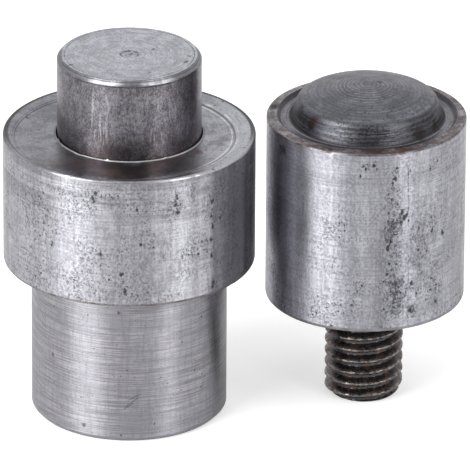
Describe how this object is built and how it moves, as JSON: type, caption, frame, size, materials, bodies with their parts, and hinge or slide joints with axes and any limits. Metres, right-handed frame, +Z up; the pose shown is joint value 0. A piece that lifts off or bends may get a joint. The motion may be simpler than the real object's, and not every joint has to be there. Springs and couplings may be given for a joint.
{
  "type": "grommet setting die set",
  "caption": "Grommet setting die set: a shouldered lower die with a spring-loaded centring plunger, and a domed upper die on a threaded stud.",
  "frame": {"origin": "on the lower die's axis, in the plane of the shank's end, which is also the plane that both dies stand on", "axes": "+Z up along both dies' axes, +X from the lower die towards the upper die beside it, +Y away from the front"},
  "size_m": [0.0462, 0.026, 0.038],
  "materials": {
    "lower_die_steel": "raw drawn bar on the head, fine turned shank",
    "plunger_steel": "dark oiled steel with scratches",
    "spring_steel": "oiled spring wire",
    "disc_steel": "turned",
    "ring_steel": "black phosphate",
    "upper_die_steel": "raw drawn bar, dark turned dome",
    "stud_steel": "black oxide with a little rust"
  },
  "bodies": {
    "lower_die": {"lower_die_body": "lower_die_steel", "spring_seat_disc": "disc_steel", "retaining_ring": "ring_steel", "plunger_spring": "spring_steel"},
    "plunger": {"centring_plunger": "plunger_steel"},
    "upper_die": {"upper_die_body": "upper_die_steel", "threaded_stud": "stud_steel"}
  },
  "joints": [
    {"name": "plunger_press", "type": "slide", "parent": "lower_die", "child": "plunger", "axis": [0, 0, -1], "range_m": [0, 0.0118], "stiffness_N_per_m": 3900, "springref_m": -0.002, "deforming": ["plunger_spring"]},
    {"name": "upper_die_lift", "type": "slide", "parent": "lower_die", "child": "upper_die", "axis": [0, 0, 1], "range_m": [0, 0.04]}
  ]
}
